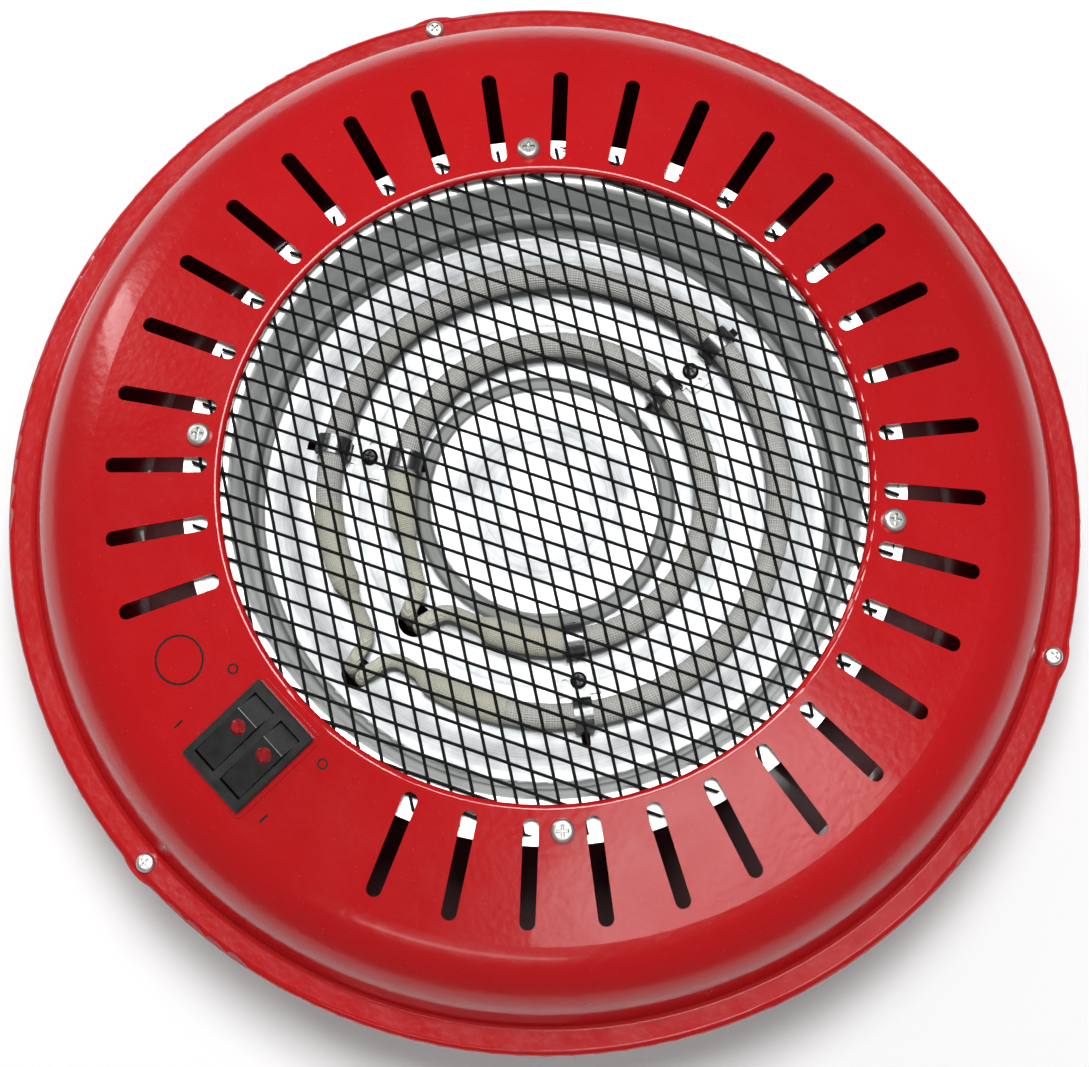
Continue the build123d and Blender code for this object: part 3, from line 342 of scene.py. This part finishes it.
def glass(name, clear, smoky):
    """Slightly hazy glass of the neon lamps."""
    m = Nodes(name)
    haze = m.noise(500.0, 3.0)
    m.set("Base Color", m.blend(haze, clear, smoky))
    m.set("Roughness", m.spread(haze, 0.0, 1.0, 0.03, 0.12))
    m.set("Transmission Weight", 0.9)
    return m.material


def ink(name, colour, thin):
    """Pad-printed ink, thin in places."""
    m = Nodes(name)
    patch = m.spread(m.noise(900.0, 4.0, 0.7), 0.5, 0.75)
    m.set("Base Color", m.blend(m.times(patch, 0.6), colour, thin))
    m.set("Roughness", m.spread(patch, 0.0, 1.0, 0.35, 0.55))
    return m.material


# ------------------------------------------------------------------ looks of the carried-over CAD nodes
# light, dark and stain tones of the braids; the dark tone is painted shade in the hollows of the weave
ROPE_TONES = ((0.86, 0.85, 0.81), (0.48, 0.48, 0.46), (0.66, 0.65, 0.61))
SLEEVE_TONES = ((0.88, 0.87, 0.72), (0.62, 0.62, 0.49), (0.80, 0.79, 0.66))
# bright and dark tones for the reflector's cloudy marks; the wall's are painted light, the floor's
# painted shade
REFLECTOR_WALL_PAINTED_LIGHT = ((0.98, 0.99, 0.97), (0.58, 0.61, 0.59))
REFLECTOR_FLOOR_PAINTED_SHADE = ((0.46, 0.47, 0.48), (0.17, 0.18, 0.185))
BAR_GRAIN = (400.0, 400.0, 400.0)

looks = {
    "red": enamel("red_enamel", (0.46, 0.0003, 0.0030), (0.41, 0.0002, 0.0020), 0.18),
    # painted shade: the pan gets a darker copy of the red enamel, for the pan seen in shadow through the
    # slots
    "pan": enamel("pan_enamel", (0.20, 0.004, 0.008), (0.14, 0.003, 0.006), 0.34),
    "reflector": spun_reflector("spun_reflector", REFLECTOR_WALL_PAINTED_LIGHT, REFLECTOR_FLOOR_PAINTED_SHADE),
    "zinc": metal("zinc_steel", (0.78, 0.78, 0.75), (0.60, 0.60, 0.57), 0.26),
    "dark_screw": metal("dark_steel", (0.045, 0.045, 0.05), (0.015, 0.015, 0.016), 0.28, wear=0.3),
    "clip": metal("clip_steel", (0.055, 0.062, 0.068), (0.014, 0.016, 0.018), 0.20, BAR_GRAIN, 0.16),
    "brass": metal("brass", (0.78, 0.58, 0.26), (0.55, 0.40, 0.18), 0.28),
    "rivet": metal("aluminium", (0.80, 0.80, 0.80), (0.66, 0.66, 0.66), 0.30),
    "guard": coated_wire("guard_black", (0.003, 0.003, 0.003), (0.012, 0.012, 0.011)),
    "switch": plastic("switch_black", (0.007, 0.008, 0.007), (0.026, 0.028, 0.026), 0.24),
    "ceramic": plastic("block_white", (0.80, 0.79, 0.74), (0.88, 0.87, 0.84), 0.45),
    "cutout": plastic("cutout_black", (0.03, 0.028, 0.028), (0.09, 0.085, 0.08), 0.4),
    "splice": plastic("splice_white", (0.72, 0.71, 0.65), (0.85, 0.84, 0.80), 0.5),
    "rubber": rubbery("foot_rubber", (0.025, 0.025, 0.025), (0.09, 0.088, 0.085), 0.7),
    "brown": rubbery("lead_brown", (0.20, 0.085, 0.035), (0.30, 0.16, 0.09)),
    "blue": rubbery("lead_blue", (0.02, 0.16, 0.55), (0.10, 0.28, 0.62)),
    "green": rubbery("lead_green", (0.10, 0.40, 0.06), (0.30, 0.50, 0.12)),
    "ruby": ruby("lens_ruby", (0.50, 0.006, 0.012), (0.16, 0.0, 0.004)),
    "neon": glass("neon_glass", (0.95, 0.85, 0.75), (0.8, 0.6, 0.5)),
}
for ring, radius in RING_RADII.items():
    looks[f"element_{ring}"] = braid(f"braid_{ring}", radius, ROPE_STRAND, *ROPE_TONES)
    looks[f"sleeve_{ring}"] = braid(f"sleeve_{ring}", radius, SLEEVE_STRAND, *SLEEVE_TONES)

node_looks = {
    "red": ["top_cover"],
    "pan": ["base_pan"],
    "reflector": ["reflector"],
    "guard": ["guard_mesh"],
    "zinc": [
        "cover_screws", "rim_screws", "rim_nuts", "foot_screws", "foot_nuts", "clip_nuts", "block_screws",
        "earth_screw", "earth_nut", "cutout_strap", "terminal_screws",
    ],
    "dark_screw": ["clip_screws"],
    "clip": ["element_clip_rear", "element_clip_left", "element_clip_right"],
    "brass": [
        "switch_terminals", "terminal_inserts", "earth_ring", "contact_lever_left", "contact_lever_right",
    ],
    "rivet": ["cutout_rivets"],
    "switch": ["switch_housing", "rocker_left", "rocker_right"],
    "ceramic": ["terminal_block", "plunger_left", "plunger_right"],
    "cutout": ["thermal_cutout"],
    "splice": ["splice_inner_left", "splice_inner_right", "splice_outer_left", "splice_outer_right"],
    "rubber": ["foot_1", "foot_2", "foot_3", "cable_bush"],
    "brown": ["lead_supply_brown", "lead_switch_brown", "lead_inner_live", "lead_outer_live"],
    "blue": ["lead_inner_blue", "lead_outer_blue"],
    "green": ["lead_earth"],
    "element_inner": ["element_inner"],
    "element_outer": ["element_outer"],
    "sleeve_inner": ["sleeve_inner_left", "sleeve_inner_right"],
    "sleeve_outer": ["sleeve_outer_left", "sleeve_outer_right"],
    "ruby": ["lens_left", "lens_right"],
    "neon": ["neon_lamp_left", "neon_lamp_right"],
}
for look, names in node_looks.items():
    for name in names:
        nodes[name].data.materials.clear()
        nodes[name].data.materials.append(looks[look])

# ------------------------------------------------------------------ printed marks round the switch
print_ink = ink("mark_ink", (0.012, 0.001, 0.001), (0.05, 0.002, 0.003))


def place_in_scene(name, data):
    item = bpy.data.objects.new(name, data)
    scene.collection.objects.link(item)
    return item


def bar_outline(width, height):
    """Corners and faces of a flat upright bar on the origin."""
    corners = [(x * width / 2, y * height / 2) for x, y in ((-1, -1), (1, -1), (1, 1), (-1, 1))]
    return corners, [(0, 1, 2, 3)]


def ring_outline(outer, inner, segments=72):
    """Corners and faces of a flat annulus on the origin."""
    turns = [2 * math.pi * step / segments for step in range(segments)]
    corners = [(radius * math.cos(a), radius * math.sin(a)) for radius in (outer, inner) for a in turns]
    steps = [(step, (step + 1) % segments) for step in range(segments)]
    return corners, [(now, after, segments + after, segments + now) for now, after in steps]


def print_on_cone(outline, name, centre_x, centre_y):
    """Lay a flat outline on the sloped ring of the cover, as a thin closed film of ink."""
    corners, faces = outline
    count = len(corners)
    vertices = []
    for lift in (INK_LIFT, INK_LIFT + INK_THICKNESS):
        for across, up in corners:
            x = centre_x + across
            y = SWITCH_Y + (centre_y + up) * math.cos(CONE_ANGLE)
            vertices.append((x, y, cone_height(math.hypot(x, y)) + lift))
    under = [face[::-1] for face in faces]
    over = [tuple(count + corner for corner in face) for face in faces]
    sides = [(face[i - 1], face[i]) for face in faces for i in range(len(face))]
    walls = [(a, b, count + b, count + a) for a, b in sides if (b, a) not in sides]
    data = bpy.data.meshes.new(name)
    data.from_pydata(vertices, [], under + over + walls)
    data.update()
    data.materials.append(print_ink)
    piece = place_in_scene(name, data)
    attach(piece, ROOT)


# the plain symbols for off (a small ring) and on (a short bar), placed across and up from the switch
OFF_RING = (0.0017, 0.0011)
ON_BAR = (0.0007, 0.0034)
PLAIN_RING = (0.0078, 0.0071)
for name, place in (("mark_off_left", (-0.0206, 0.0120)), ("mark_off_right", (0.0194, 0.0129))):
    print_on_cone(ring_outline(*OFF_RING), name, *place)
for name, place in (("mark_on_left", (-0.0199, -0.0116)), ("mark_on_right", (0.0190, -0.0114))):
    print_on_cone(bar_outline(*ON_BAR), name, *place)
print_on_cone(ring_outline(*PLAIN_RING), "mark_plain_ring", -0.0343, 0.0016)

# ------------------------------------------------------------------ floor
FLOOR_RADIUS = 3.0
FLOOR_GAP = 0.0005

floor_disc = bmesh.new()
bmesh.ops.create_circle(floor_disc, cap_ends=True, radius=FLOOR_RADIUS, segments=64)
floor_data = bpy.data.meshes.new("floor")
floor_disc.to_mesh(floor_data)
floor_disc.free()
floor = place_in_scene("floor", floor_data)
floor.location.z = cad_box[0][2] - FLOOR_GAP
pale = Nodes("pale_floor")
pale.set("Base Color", (0.92, 0.92, 0.92))
pale.set("Roughness", 0.9)
floor_data.materials.append(pale.material)

# ------------------------------------------------------------------ light
WORLD_STRENGTH = 0.24
SOFTBOXES = (
    # name, place, aim, width and height, power in watts
    ("overhead", (-0.20, 0.20, 1.35), (0, 0, 0.05), (0.50, 0.50), 15.0),
    ("right_strip", (0.50, -0.05, 1.22), (0.05, 0, 0.05), (0.70, 0.20), 2.1),
    ("lower_strip", (0.42, -0.62, 0.95), (0, 0, 0.05), (0.45, 0.06), 0.5),
    ("left_strip", (-1.05, -0.25, 0.62), (0, 0, 0.05), (0.12, 0.70), 2.4),
)

world = bpy.data.worlds.new("studio")
scene.world = world
world.use_nodes = True
background = world.node_tree.nodes["Background"]
background.inputs["Color"].default_value = (1.0, 1.0, 1.0, 1.0)
background.inputs["Strength"].default_value = WORLD_STRENGTH

for name, place, aim, size, power in SOFTBOXES:
    light = bpy.data.lights.new(name, "AREA")
    light.shape = "RECTANGLE"
    light.size, light.size_y = size
    light.energy = power
    lamp = place_in_scene(name, light)
    lamp.location = place
    lamp.rotation_euler = (Vector(aim) - Vector(place)).to_track_quat("-Z", "Y").to_euler()
scene.view_settings.view_transform = "Standard"

# ------------------------------------------------------------------ camera, at the photograph's angle
PHOTO_WIDTH = 1089.0
FOCAL_PIXELS = 1995.8
CAMERA_EYE = Vector((0.10619, -0.09868, 0.68726))
CAMERA_AIM = Vector((0.00734, -0.00696, 0.0530))
CAMERA_ROLL = math.radians(0.08)

camera = bpy.data.cameras.new("camera")
camera.sensor_width = 36.0
camera.lens = camera.sensor_width * FOCAL_PIXELS / PHOTO_WIDTH
camera.clip_start = 0.01
viewer = place_in_scene("camera", camera)
turn = (CAMERA_AIM - CAMERA_EYE).to_track_quat("-Z", "Y").to_matrix().to_4x4()
viewer.matrix_world = Matrix.Translation(CAMERA_EYE) @ turn @ Matrix.Rotation(CAMERA_ROLL, 4, "Z")
bpy.context.scene.camera = viewer
